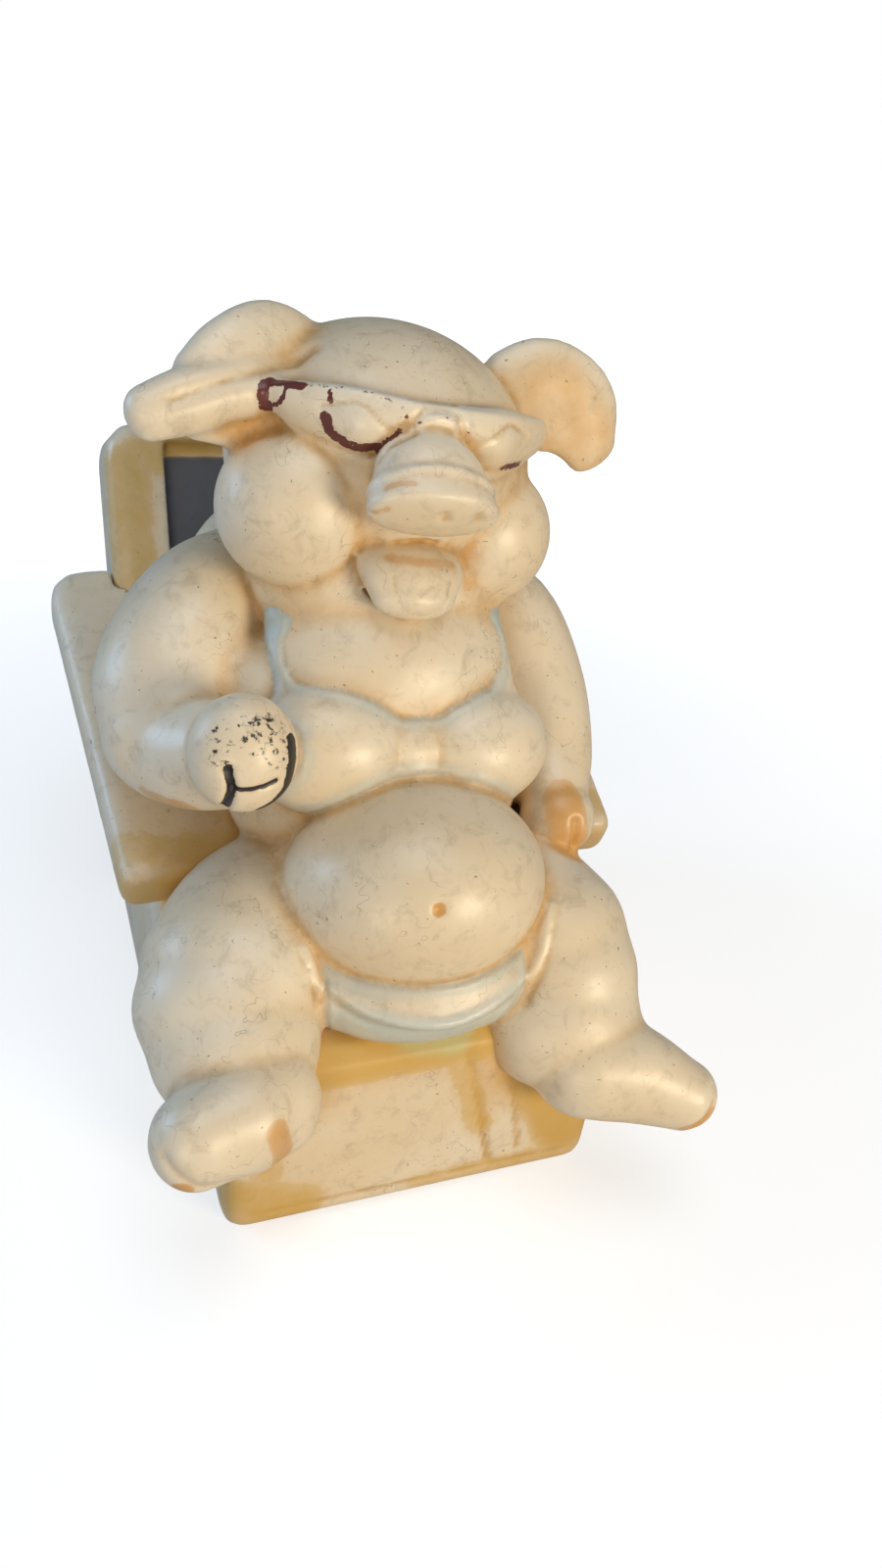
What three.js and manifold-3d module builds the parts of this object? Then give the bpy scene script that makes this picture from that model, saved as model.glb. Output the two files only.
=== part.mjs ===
// Porcelain money bank: a laughing pig in a two-piece bathing suit, lounging in an armchair.
// Millimetres. +X is to the right of somebody facing the pig, +Y is to the back, +Z is up.
// The origin is the middle of the flat underside. Left and right are as seen from the front.

import * as THREE from 'three';
import { mergeVertices } from 'three/addons/utils/BufferGeometryUtils.js';
import Module from 'manifold-3d';

const wasm = await Module();
wasm.setup();

// Driving dimensions of the casting
const wall = 5;
const seam = 0.3;
const tolerance = 0.1;

// Driving dimensions of the armchair
const baseWidth = 90;
const bodyWidth = 104;
const baseDepth = 134;
const seatHeight = 52.5;
const rearLean = 22;
const edgeRound = 4.5;
const armSetback = 48;
const armOuter = 60;
const armWidth = 30;
const armLength = 102;
const armThickness = 13;
const armRise = 21;
const armTilt = 17;
const armSplay = 4;
const postWidth = 16;
const backWidth = 100;
const backThickness = 26;
const backHeight = 88;
const backLean = 24;
const backFootY = 44;
const frameBorder = 15;
const frameTop = 5;
const backRound = 10;
const frontRound = 9;
const frontOverlap = 30;
const boardFoot = 8;
const seatWayY = 46;
const neckWayY = 84;
const neckWayLow = 70;
const neckWayHigh = 98;
const nostrilForward = 41;
const panelDepth = 4;

// Driving dimensions of the money parts
const slotLength = 36;
const slotWidth = 5;
const slotHeight = 58;
const chuteDepth = 13;
const coinWay = 22;
const neckOpening = 16;
const stopperY = 34;
const stopperHole = 30;
const stopperFlange = 38;
const flangeThickness = 2.4;
const stopperRecess = 3;
const bossWidth = 48;
const bossHeight = 9;
const plugLength = 12;
const plugTaper = 1.2;

const radians = THREE.MathUtils.degToRad;
const baseFront = -baseDepth / 2;
const baseRear = baseDepth / 2;
const bodyFront = baseFront + armSetback;
const frontRear = bodyFront + frontOverlap;

// Solids from geometries

function solid(geometry) {
  const bare = new THREE.BufferGeometry();
  bare.setAttribute('position', geometry.getAttribute('position'));
  if (geometry.index) bare.setIndex(geometry.index);
  const merged = mergeVertices(bare, 1e-5);
  return new wasm.Manifold(new wasm.Mesh({
    numProp: 3,
    vertProperties: new Float32Array(merged.getAttribute('position').array),
    triVerts: new Uint32Array(merged.index.array),
  }));
}

function place(geometry, at = [0, 0, 0], turn = [0, 0, 0]) {
  const euler = new THREE.Euler(...turn.map(radians), 'XYZ');
  const matrix = new THREE.Matrix4().makeRotationFromEuler(euler);
  matrix.setPosition(...at);
  return geometry.applyMatrix4(matrix);
}

// A stretched ball, for cheeks, belly and the like
function lump({ at, half, turn = [0, 0, 0], sides = 14, rings = 9 }, grow = 0) {
  const ball = new THREE.SphereGeometry(1, sides, rings);
  ball.rotateX(Math.PI / 2);
  ball.scale(half[0] + grow, half[1] + grow, half[2] + grow);
  return solid(place(ball, at, turn));
}

// Stations [x, y, z, half width, half depth] strung on a smooth line, with round ends.
// The width lies along side, as nearly as the line allows.
function loft({ stations, side = [1, 0, 0], sides = 12, steps = 2, ends = [1, 1] }, grow = 0) {
  const line = new THREE.CatmullRomCurve3(
    stations.map(([x, y, z]) => new THREE.Vector3(x, y, z)), false, 'catmullrom', 0.5);
  const sizes = new THREE.CatmullRomCurve3(
    stations.map((s) => new THREE.Vector3(s[3], s[4], 0)), false, 'catmullrom', 0.5);
  const last = (stations.length - 1) * steps;
  const across = new THREE.Vector3(...side);
  const rings = [];
  const ring = (t, forward, shrink) => {
    const tangent = line.getTangent(t);
    const size = sizes.getPoint(t);
    const wide = across.clone().addScaledVector(tangent, -across.dot(tangent)).normalize();
    const deep = new THREE.Vector3().crossVectors(tangent, wide);
    const reach = forward * (Math.min(size.x, size.y) + grow);
    const centre = line.getPoint(t).addScaledVector(tangent, reach);
    return Array.from({ length: sides }, (_, i) => {
      const angle = (i / sides) * 2 * Math.PI;
      return centre.clone()
        .addScaledVector(wide, (size.x + grow) * shrink * Math.cos(angle))
        .addScaledVector(deep, (size.y + grow) * shrink * Math.sin(angle));
    });
  };
  const capSteps = 3;
  for (let k = capSteps - 1; k > 0; k -= 1) {
    const angle = (k / capSteps) * (Math.PI / 2);
    rings.push(ring(0, -ends[0] * Math.sin(angle), Math.cos(angle)));
  }
  for (let i = 0; i <= last; i += 1) rings.push(ring(i / last, 0, 1));
  for (let k = 1; k < capSteps; k += 1) {
    const angle = (k / capSteps) * (Math.PI / 2);
    rings.push(ring(1, ends[1] * Math.sin(angle), Math.cos(angle)));
  }
  const poles = [ring(0, -ends[0], 0)[0], ring(1, ends[1], 0)[0]];
  return solid(skin(rings, poles, sides));
}

// Rings of points joined into a closed skin between two poles
function skin(rings, poles, sides) {
  const points = [poles[0], ...rings.flat(), poles[1]];
  const top = points.length - 1;
  const at = (r, i) => 1 + r * sides + (i % sides);
  const faces = [];
  for (let i = 0; i < sides; i += 1) {
    faces.push(0, at(0, i + 1), at(0, i));
    for (let r = 0; r < rings.length - 1; r += 1) {
      faces.push(at(r, i), at(r, i + 1), at(r + 1, i + 1));
      faces.push(at(r, i), at(r + 1, i + 1), at(r + 1, i));
    }
    faces.push(at(rings.length - 1, i), at(rings.length - 1, i + 1), top);
  }
  const geometry = new THREE.BufferGeometry().setFromPoints(points);
  geometry.setIndex(faces);
  return geometry;
}

// A plate cut to a rounded outline, with rounded edges all round
function plate({ outline, thickness, round, edge, axis = 'z', at, turn }, grow = 0) {
  const points = offset(outline, grow - edge);
  const shape = new THREE.Shape();
  const count = points.length;
  points.forEach((corner, i) => {
    const before = points[(i + count - 1) % count];
    const after = points[(i + 1) % count];
    const radius = Math.max((Array.isArray(round) ? round[i] : round) + grow - edge, 0.5);
    const turnAngle = Math.PI - corner.clone().sub(before).angleTo(after.clone().sub(corner));
    const reach = radius / Math.tan(turnAngle / 2);
    const enter = corner.clone().addScaledVector(before.clone().sub(corner).normalize(), reach);
    const leave = corner.clone().addScaledVector(after.clone().sub(corner).normalize(), reach);
    if (i === 0) shape.moveTo(enter.x, enter.y);
    else shape.lineTo(enter.x, enter.y);
    shape.quadraticCurveTo(corner.x, corner.y, leave.x, leave.y);
  });
  shape.closePath();
  const depth = thickness + 2 * grow - 2 * edge;
  const geometry = new THREE.ExtrudeGeometry(shape, {
    depth, bevelEnabled: true, bevelThickness: edge, bevelSize: edge, bevelSegments: grow < 0 ? 1 : 2, curveSegments: 3,
  });
  geometry.translate(0, 0, -depth / 2);
  if (axis === 'x') geometry.applyMatrix4(new THREE.Matrix4().set(0, 0, 1, 0, 1, 0, 0, 0, 0, 1, 0, 0, 0, 0, 0, 1));
  if (axis === 'y') geometry.applyMatrix4(new THREE.Matrix4().set(1, 0, 0, 0, 0, 0, -1, 0, 0, 1, 0, 0, 0, 0, 0, 1));
  return solid(place(geometry, at, turn));
}

// An outline moved outwards by a distance, its corners kept sharp
function offset(outline, distance) {
  const corners = outline.map(([x, y]) => new THREE.Vector2(x, y));
  const count = corners.length;
  return corners.map((corner, i) => {
    const before = corner.clone().sub(corners[(i + count - 1) % count]).normalize();
    const after = corners[(i + 1) % count].clone().sub(corner).normalize();
    const normal = new THREE.Vector2(before.y + after.y, -before.x - after.x);
    return corner.clone().addScaledVector(normal, distance / (1 + before.dot(after)));
  });
}

function join(...parts) {
  return parts.reduce((sum, part) => sum.add(part));
}

function cut(part, ...cutters) {
  return cutters.reduce((rest, cutter) => rest.subtract(cutter), part);
}

// The largest body that a cut has left, without the trimmings
function largest(form) {
  return form.decompose().reduce((most, body) => (body.volume() > most.volume() ? body : most));
}

// An upright round pin between two heights
function pin(width, low, high, x = 0, y = 0) {
  const cylinder = new THREE.CylinderGeometry(width / 2, width / 2, high - low, 28);
  cylinder.rotateX(Math.PI / 2);
  return solid(cylinder.translate(x, y, (low + high) / 2));
}

const mirrored = (form) => form.mirror([1, 0, 0]);

// Armchair

function seatForm(grow = 0) {
  const rearTop = baseRear + seatHeight * Math.tan(radians(rearLean));
  const front = plate({
    outline: [[baseFront, 0], [frontRear, 0], [frontRear, seatHeight], [baseFront, seatHeight]],
    thickness: baseWidth, round: [6, 2, 2, frontRound], edge: edgeRound, axis: 'x',
  }, grow);
  const body = plate({
    outline: [[bodyFront, 0], [baseRear, 0], [rearTop, seatHeight], [bodyFront, seatHeight]],
    thickness: bodyWidth, round: [2, 10, 4, 2], edge: edgeRound, axis: 'x',
  }, grow);
  return front.add(body);
}

function armForm(grow = 0) {
  return plate({
    outline: [[armOuter - armWidth, 0], [armOuter, 0], [armOuter, armLength], [armOuter - armWidth, armLength]],
    thickness: armThickness, round: [2, 4, 10, 4], edge: 3.5,
    at: [0, bodyFront, seatHeight + armRise - armThickness / 2],
    turn: [armTilt, 0, -armSplay],
  }, grow);
}

function postForm(grow = 0) {
  const front = bodyFront + 2;
  const rear = front + armLength - 8;
  const rise = Math.tan(radians(armTilt));
  const high = seatHeight + armRise - armThickness / 2;
  const low = seatHeight - 10;
  return plate({
    outline: [[front, low], [baseRear + 14, low], [rear, high + rise * (rear - front)], [front, high]],
    thickness: postWidth, round: 2, edge: 1.5, axis: 'x', at: [bodyWidth / 2 - postWidth / 2 - 1, 0, 0],
  }, grow);
}

const armrestForm = (grow) => join(armForm(grow), postForm(grow));

const backTurn = { at: [0, backFootY + backThickness / 2, seatHeight], turn: [-backLean, 0, 0] };

function backForm(grow = 0) {
  const half = backWidth / 2;
  const board = plate({
    outline: [[-half, -boardFoot], [half, -boardFoot], [half, backHeight], [-half, backHeight]],
    thickness: backThickness, round: [4, 4, backRound, backRound], edge: edgeRound, axis: 'y', ...backTurn,
  }, grow);
  const inner = half - frameBorder - grow;
  const top = backHeight - frameTop - grow;
  const panel = new THREE.BoxGeometry(2 * inner, 2 * panelDepth, top + 2 * boardFoot);
  panel.translate(0, -grow - backThickness / 2, top / 2 - boardFoot);
  return cut(board, solid(place(panel, backTurn.at, backTurn.turn)));
}

// Pig, measured from the middle of the seat's front edge

const seatEdge = [0, baseFront, seatHeight];
const onSeat = (form) => form.translate(seatEdge);

const pelvis = { at: [0, 36, 16], half: [33, 27, 22] };
const waist = { at: [0, 60, 34], half: [36, 34, 29], turn: [40, 0, 0] };
const neck = { at: [1, 80, 64], half: [26, 23, 22] };
const shoulders = { at: [0, 103, 54], half: [38, 36, 28], turn: [20, 0, 0] };
const belly = { at: [0, 25, 24.5], half: [29, 27, 22.5], turn: [-20, 0, 0], sides: 20, rings: 12 };
const navel = { at: [-4, 4, 37], half: [2, 2, 2], sides: 8, rings: 6 };

function trunkForm(grow = 0, detail = 1) {
  const coarse = detail === 1 ? {} : { sides: 12, rings: 8 };
  return onSeat(join(
    ...[pelvis, waist, neck, shoulders, belly].map((shape) => lump({ ...shape, ...coarse }, grow)),
  ));
}

const bodyForm = (grow = 0) => cut(trunkForm(grow), onSeat(lump(navel, -grow)));

// Head, measured from its own middle
const headAt = [2, 79, 98];
const headTurn = [0, 7, 0];
const onHead = (form) => onSeat(form.rotate(headTurn).translate(headAt));

const skull = { at: [0, 2, 1], half: [34, 31, 29], sides: 20, rings: 12 };
const leftCheek = { at: [-21, -13, -7], half: [17, 16, 17] };
const rightCheek = { at: [22, -12, -9], half: [16, 15, 16] };
const muzzle = { at: [0, -16, -2], half: [15, 14, 14], sides: 16, rings: 10 };
const jaw = { at: [1, -11, -21], half: [29, 18, 18], sides: 18, rings: 10 };
const mouth = { at: [3, -28, -13], half: [13, 9, 8], turn: [20, 0, 0], sides: 16, rings: 9 };

function headForm(grow = 0) {
  const lumps = [skull, leftCheek, rightCheek, muzzle, jaw].map((shape) => lump(shape, grow));
  return onHead(cut(join(...lumps), lump(mouth, -grow)));
}

const snout = {
  stations: [
    [-1, -18, 11, 8, 6],
    [-1, -22, 11, 9.5, 7.5],
    [-1, -26, 10, 10, 7.2],
    [-1, -30, 8.5, 11.6, 8],
    [-1, -33, 6.5, 12.5, 7.4],
    [-1, -37, 3, 14, 8.2],
  ],
  ends: [1, 0.35],
};
const nostril = { half: [2, 3, 2.6], sides: 8, rings: 6 };

function snoutForm(grow = 0) {
  const holes = [4, -6].map((x) => lump({ ...nostril, at: [x, -nostrilForward, 1] }, -grow));
  return onHead(cut(loft(snout, grow), ...holes));
}

const tongue = {
  stations: [
    [3, -19, -12, 8, 4],
    [3, -28, -13.5, 8.5, 4],
    [3, -33, -18, 7.5, 3.5],
  ],
  sides: 12,
};
const tongueForm = (grow) => onHead(loft(tongue, grow));

const eyeglasses = {
  stations: [
    [-32, -8, 13, 2.6, 3],
    [-26, -15, 13.5, 4.8, 4],
    [-15, -23, 14, 6.8, 4.6],
    [-4, -26, 18, 3.6, 4],
    [4, -26, 18, 3.6, 4],
    [15, -23, 14, 6.8, 4.6],
    [26, -15, 13.5, 4.8, 4],
    [32, -8, 13, 2.6, 3],
  ],
  side: [0, 0, 1], sides: 10,
};
const eyeglassesForm = (grow) => onHead(loft(eyeglasses, grow));

const leftEarBlade = {
  stations: [
    [-18, 6, 15, 11, 6],
    [-27, 2, 18, 12, 6],
    [-35, -3, 16, 11, 6],
    [-42, -7, 12, 8.5, 5],
  ],
  side: [0, 0.4, 1],
};
const leftEarRoll = {
  stations: [
    [-25, -5, 14, 6, 6],
    [-35, -8, 13, 6.5, 6],
    [-45, -11, 11, 6.5, 5.5],
    [-53, -13, 8, 5.5, 4.5],
  ],
  side: [0, 0.4, 1],
};
const rightEar = {
  stations: [
    [26, 5, 18, 9, 4],
    [36, 4, 20, 12, 4.5],
    [45, 2, 16, 12, 4.5],
    [51, 0, 9, 7, 3.5],
  ],
  side: [0, 0.3, 1], sides: 14,
};
const earHollow = { at: [43, -4, 16], half: [9, 5, 9], sides: 14, rings: 8 };
const leftEarForm = (grow) => onHead(join(loft(leftEarBlade, grow), loft(leftEarRoll, grow)));
const rightEarForm = (grow) => onHead(cut(loft(rightEar, grow), lump(earHollow, -grow)));

const leftThigh = {
  stations: [
    [-18, 48, 8, 16, 16],
    [-30, 36, 9, 20, 18],
    [-39, 22, 7, 21, 19],
  ],
};
const leftKnee = { at: [-42, 16, 5], half: [20, 17, 17] };
const leftShin = { at: [-42, 8, 0], half: [18, 16, 16] };
const rightThigh = {
  stations: [
    [18, 46, 8, 16, 16],
    [27, 32, 9, 19, 18],
    [33, 19, 7, 19, 18],
  ],
};
const rightKnee = { at: [34, 12, 2], half: [18, 17, 17] };
const rightShin = { at: [32, 5, -5], half: [19, 16, 16] };
const leftFoot = {
  stations: [
    [-37, -5, -4, 12, 10],
    [-44, -7, -3, 12, 12],
    [-53, -11, -3, 10.5, 9.5],
  ],
  side: [0, 0, 1],
};
const rightFoot = {
  stations: [
    [34, -5, -10, 12, 12],
    [44, -8, -12, 12, 11],
    [56, -14, -16, 8.5, 8],
  ],
  side: [0, 0, 1],
};
const leftUpperArm = {
  stations: [
    [-24, 86, 68, 14, 14],
    [-36, 78, 64, 16, 16],
    [-45, 66, 55, 17, 16],
    [-47, 56, 47, 15, 14],
  ],
};
const leftForearm = {
  stations: [
    [-47, 54, 46, 13, 13],
    [-43, 46, 48, 12, 12],
    [-38, 38, 52, 11, 11],
  ],
};
const rightArm = {
  stations: [
    [24, 84, 64, 14, 14],
    [36, 78, 58, 15, 15],
    [42, 66, 47, 13, 13],
    [43, 54, 36, 11, 11],
    [41, 45, 31, 9, 9],
  ],
};
const leftHoof = { at: [-37, 31, 57], half: [11, 9, 12], turn: [-20, 0, 0] };
const rightHoof = { at: [40, 38, 27], half: [9, 9, 9], sides: 16, rings: 10 };
const leftCleft = { at: [-37, 22, 53], half: [1, 5, 7], turn: [-20, 15, 0], sides: 8, rings: 6 };
const rightCleft = { at: [41, 29, 27], half: [1, 5, 6], sides: 8, rings: 6 };

const leftLegForm = (grow) => onSeat(join(loft(leftThigh, grow), lump(leftKnee, grow), lump(leftShin, grow)));
const rightLegForm = (grow) => onSeat(join(loft(rightThigh, grow), lump(rightKnee, grow), lump(rightShin, grow)));
const leftFootForm = (grow) => onSeat(loft(leftFoot, grow));
const rightFootForm = (grow) => onSeat(loft(rightFoot, grow));
const leftArmForm = (grow) => onSeat(join(loft(leftUpperArm, grow), loft(leftForearm, grow)));
const rightArmForm = (grow) => onSeat(loft(rightArm, grow));
const leftHoofForm = (grow) => onSeat(cut(lump(leftHoof, grow), lump(leftCleft, -grow)));
const rightHoofForm = (grow) => onSeat(cut(lump(rightHoof, grow), lump(rightCleft, -grow)));

// Bathing suit
const cup = { half: [18, 13, 14], turn: [-30, 0, 0], sides: 14, rings: 8 };
const leftCup = { ...cup, at: [-16, 42, 49.5] };
const rightCup = { ...cup, at: [16.5, 42, 46.5] };
const gather = { at: [0, 43, 47], half: [14, 12, 11], turn: [-30, 0, 0], sides: 12, rings: 8 };
const strap = {
  stations: [
    [20, 46, 56, 8, 5],
    [22, 60, 70, 6, 4.5],
    [19, 72, 82, 5, 4.5],
  ],
  sides: 8,
};
const briefs = { at: [0, 17, 7], half: [28, 19, 14] };
const waistband = {
  stations: [
    [-26, 16, 16, 3, 3],
    [-14, 4, 10, 3, 3],
    [0, 0, 7, 3, 3],
    [14, 4, 10, 3, 3],
    [26, 16, 16, 3, 3],
  ],
  side: [0, 0, 1], sides: 10,
};

function bikiniTopForm(grow) {
  const straps = join(loft(strap, grow), mirrored(loft(strap, grow)));
  return onSeat(join(lump(leftCup, grow), lump(rightCup, grow), lump(gather, grow), straps));
}

const bikiniBottomForm = (grow) => onSeat(join(lump(briefs, grow), loft(waistband, grow)));

// Hollows inside the casting
function seatHollow() {
  const boss = pin(bossWidth, 0, bossHeight, 0, stopperY);
  const recess = pin(stopperFlange + 2 * seam, -1, stopperRecess, 0, stopperY);
  const hole = pin(stopperHole, -1, bossHeight + 1, 0, stopperY);
  return join(cut(seatForm(-wall), boss), recess, hole);
}

function backHollow() {
  const slot = new THREE.BoxGeometry(slotLength, 3 * wall, slotWidth);
  const lean = radians(backLean);
  const mouthY = backFootY + backThickness / 2 + (backThickness - wall) / 2 / Math.cos(lean);
  slot.translate(0, mouthY + slotHeight * Math.tan(lean), seatHeight + slotHeight);
  const chute = new THREE.BoxGeometry(slotLength + 4, chuteDepth, 2 * wall + 4);
  chute.translate(0, backFootY + wall / 2 + backThickness / 2 + 1, seatHeight);
  const space = cut(backForm(-wall), seatForm(wall + seam));
  return [space, solid(slot), solid(chute)];
}

const core = {
  stations: [
    [0, 24, 24, 19, 15],
    [0, 42, 30, 22, 17],
    [0, 60, 40, 23, 18],
    [1, 76, 54, 19, 16],
  ],
  sides: 10,
};

function bodyHollow() {
  const chair = join(seatForm(wall), backForm(wall), armrestForm(wall), mirrored(armrestForm(wall)));
  return cut(join(trunkForm(-wall, 0), onSeat(loft(core))), chair);
}

function headHollow() {
  const space = lump({ ...skull, sides: 14, rings: 9 }, -wall);
  return cut(onHead(cut(space, lump(mouth, wall))), trunkForm(wall, 0));
}

const seatWay = pin(coinWay, seatHeight - wall - 2, seatHeight + wall + 2, 0, baseFront + seatWayY);
const neckWay = pin(neckOpening, seatHeight + neckWayLow, seatHeight + neckWayHigh, 2, baseFront + neckWayY);

function stopperForm() {
  const flange = stopperFlange / 2;
  const plug = stopperHole / 2 - seam;
  const shoulder = seam + flangeThickness;
  const top = shoulder + plugLength;
  const profile = [
    [0, seam + 1], [flange * 0.55, seam + 1], [flange * 0.65, seam], [flange - 0.8, seam],
    [flange, seam + 0.8], [flange, shoulder], [plug, shoulder], [plug, bossHeight],
    [plug - plugTaper, top - 1.5], [plug - plugTaper - 1.5, top], [0, top],
  ].map(([x, z]) => new THREE.Vector2(x, z));
  const turned = new THREE.LatheGeometry(profile, 24);
  turned.rotateX(Math.PI / 2);
  return solid(turned).translate([0, stopperY, 0]);
}

const cream = 0xe6d8bc;
const [backSpace, slot, chute] = backHollow();
const sections = [
  ['chair_seat', seatForm, 0xd8c9a0, [seatHollow(), seatWay, chute]],
  ['chair_back', backForm, 0xcdbd7a, [backSpace, slot, chute]],
  ['left_armrest', (grow) => mirrored(armrestForm(grow)), 0xc9d3d6],
  ['right_armrest', armrestForm, 0xc9d3d6],
  ['body', bodyForm, cream, [bodyHollow(), seatWay, neckWay]],
  ['head', headForm, cream, [headHollow(), neckWay]],
  ['eyeglasses', eyeglassesForm, 0xd0b090],
  ['snout', snoutForm, 0xd9dcd8],
  ['tongue', tongueForm, 0xd8b090],
  ['left_ear', leftEarForm, cream],
  ['right_ear', rightEarForm, cream],
  ['left_hoof', leftHoofForm, 0xd0c8b8],
  ['right_hoof', rightHoofForm, 0xd0c8b8],
  ['left_leg', leftLegForm, 0xe0d2b4],
  ['right_leg', rightLegForm, 0xe0d2b4],
  ['left_foot', leftFootForm, 0xd9dcd8],
  ['right_foot', rightFootForm, 0xd9dcd8],
  ['left_arm', leftArmForm, 0xe0d2b4],
  ['right_arm', rightArmForm, 0xe0d2b4],
  ['bikini_bottom', bikiniBottomForm, 0xb9cdd4],
  ['bikini_top', bikiniTopForm, 0xb9cdd4],
];

const bank = new THREE.Group();
bank.name = 'pig_money_bank';

function show(name, form, color) {
  const { vertProperties, triVerts } = form.getMesh();
  const geometry = new THREE.BufferGeometry();
  geometry.setAttribute('position', new THREE.BufferAttribute(new Float32Array(vertProperties), 3));
  geometry.setIndex(new THREE.BufferAttribute(new Uint32Array(triVerts), 1));
  geometry.computeVertexNormals();
  const mesh = new THREE.Mesh(geometry, new THREE.MeshStandardMaterial({ color, roughness: 0.45 }));
  mesh.name = name;
  bank.add(mesh);
}

// Every section is cut back by the grown forms of the sections before it
let taken = pin(1, -3, -2);
for (const [name, form, color, hollows = []] of sections) {
  show(name, largest(cut(form(0), taken, ...hollows)).simplify(tolerance), color);
  taken = taken.add(form(seam));
}
show('stopper', stopperForm(), 0x6f6a62);

export default bank;
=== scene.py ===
"""Looks of the ceramic pig money bank, laid out as a Blender add-on and run as a script.
Lengths in the forms are millimetres and are turned to metres where a mesh is made."""
import math

import bmesh
import bpy
import numpy as np
from bpy.props import FloatProperty, FloatVectorProperty, PointerProperty
from bpy.types import Operator, Panel, PropertyGroup
from mathutils import Euler, Matrix, Vector
from mathutils.bvhtree import BVHTree
from mathutils.kdtree import KDTree


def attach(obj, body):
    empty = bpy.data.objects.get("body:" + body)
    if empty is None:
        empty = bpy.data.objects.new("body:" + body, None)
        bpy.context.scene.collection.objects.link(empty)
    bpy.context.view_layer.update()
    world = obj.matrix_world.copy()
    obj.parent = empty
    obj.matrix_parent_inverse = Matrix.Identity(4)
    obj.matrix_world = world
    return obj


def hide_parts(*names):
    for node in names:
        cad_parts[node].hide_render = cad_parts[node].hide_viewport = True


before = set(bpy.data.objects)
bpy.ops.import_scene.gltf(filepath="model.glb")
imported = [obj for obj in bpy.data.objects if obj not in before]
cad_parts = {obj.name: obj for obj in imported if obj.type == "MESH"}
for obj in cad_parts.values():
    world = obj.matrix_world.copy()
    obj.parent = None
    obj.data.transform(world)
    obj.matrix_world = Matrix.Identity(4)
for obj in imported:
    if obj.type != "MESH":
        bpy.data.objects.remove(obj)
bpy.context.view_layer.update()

bl_info = {
    "name": "Pig Money Bank Looks",
    "version": (1, 0, 0),
    "blender": (4, 5, 0),
    "location": "View3D > Sidebar > Money Bank",
    "description": "Dresses the packed pig money bank in soft worn ceramic",
    "category": "Object",
}

MM = 0.001
CASTING = "casting"
CHAIR_NODES = ("chair_seat", "chair_back", "left_armrest", "right_armrest")

# The middle of the seat's front edge, and the head's place and roll as measured from there
SEAT_EDGE = Vector((0, -67, 52.5))
HEAD_AT = Vector((2, 79, 98))
HEAD_ROLL = 7

# The backrest's lean and where its plane meets the seat, and its sunk panel: how far before that plane
# it begins, and its width and height as measured along the lean
BACK_LEAN = 24
BACK_FOOT_Y = 57
PANEL_DEPTH = 12.2
PANEL_HALF_WIDTH = 35.5
PANEL_MIDDLE = 40
PANEL_HALF_HEIGHT = 42.5

# Camera in millimetres, turned by azimuth, elevation and roll
CAMERA_AT = Vector((-80, -229, 234.5))
CAMERA_TURN = (24, 33, 8)
SENSOR_WIDTH = 36
LENS = 27

# Lamps in metres and watts, as (name, place, size, power, colour)
LAMP_TARGET = Vector((0, 0, 0.08))
LAMPS = (
    ("warm lamp", (0.45, -0.85, 0.26), 0.35, 5.4, (1.0, 0.85, 0.62)),
    ("front lamp", (-0.55, -0.85, 0.16), 0.45, 2.6, (1.0, 0.87, 0.68)),
    ("cool lamp", (-0.9, 0.4, 0.42), 0.5, 4.0, (0.4, 0.66, 1.0)),
    ("top lamp", (0.0, -0.2, 0.95), 0.6, 2.6, (0.8, 0.9, 1.0)),
)
WORLD_STRENGTH = 0.15

FAR = 1e3   # millimetres, stands for out of reach
LABEL_REACH = 0.004   # metres from a form within which a place may belong to it
LABEL_ROUNDS = 12   # rounds that even out the borders between pieces
LINE_STEP = 0.4   # millimetres between the places where a line is laid on a surface
LIMB_SIDES = 28
LIMB_RINGS = 5   # rings from one station of a limb to the next

# How far the amber darkening reaches where pig and chair touch, in metres, and creases, broad and fine, as
# (smoothing in metres, millimetres that count as a full crease)
PIG_TOUCH_REACH = 0.006
CHAIR_TOUCH_REACH = 0.012
PIG_CREASES = ((0.0045, 1.3), (0.0013, 0.12))
CHAIR_CREASES = ((0.004, 0.9), (0.0018, 0.15))

# Hem of the suit in millimetres: its lift, and the bead's place and width
HEM_LIFT = 0.25
BEAD_AT = 1.6
BEAD_WIDTH = 0.9
_cache = {}


# Sizes and colours that a user would change

class MoneyBankSizes(PropertyGroup):
    skin_grain: FloatProperty(
        name="Skin grain", description="Size of the cells that the pig's skin is melted into",
        default=0.00065, min=0.0004, max=0.003, precision=5, subtype="DISTANCE", unit="LENGTH")
    chair_grain: FloatProperty(
        name="Chair grain", description="Size of the cells that the armchair is melted into",
        default=0.0011, min=0.0006, max=0.003, precision=5, subtype="DISTANCE", unit="LENGTH")
    face_softness: FloatProperty(
        name="Face softness", description="How far the glaze rounds off the snout, mouth and eyeglasses",
        default=0.0007, min=0.0, max=0.005, precision=5, subtype="DISTANCE", unit="LENGTH")
    skin_softness: FloatProperty(
        name="Skin softness", description="How far the glaze fills the creases of the pig",
        default=0.0015, min=0.0, max=0.005, precision=5, subtype="DISTANCE", unit="LENGTH")
    leg_softness: FloatProperty(
        name="Leg softness", description="How far the folds at the knees and elbow are filled",
        default=0.0038, min=0.0, max=0.008, precision=5, subtype="DISTANCE", unit="LENGTH")
    chair_softness: FloatProperty(
        name="Chair softness", description="How far the glaze rounds off the armchair's edges",
        default=0.0013, min=0.0, max=0.005, precision=5, subtype="DISTANCE", unit="LENGTH")
    rim_depth: FloatProperty(
        name="Seam depth", description="How far each skin piece turns inwards at its seams",
        default=0.0015, min=0.0, max=0.005, precision=5, subtype="DISTANCE", unit="LENGTH")


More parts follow.
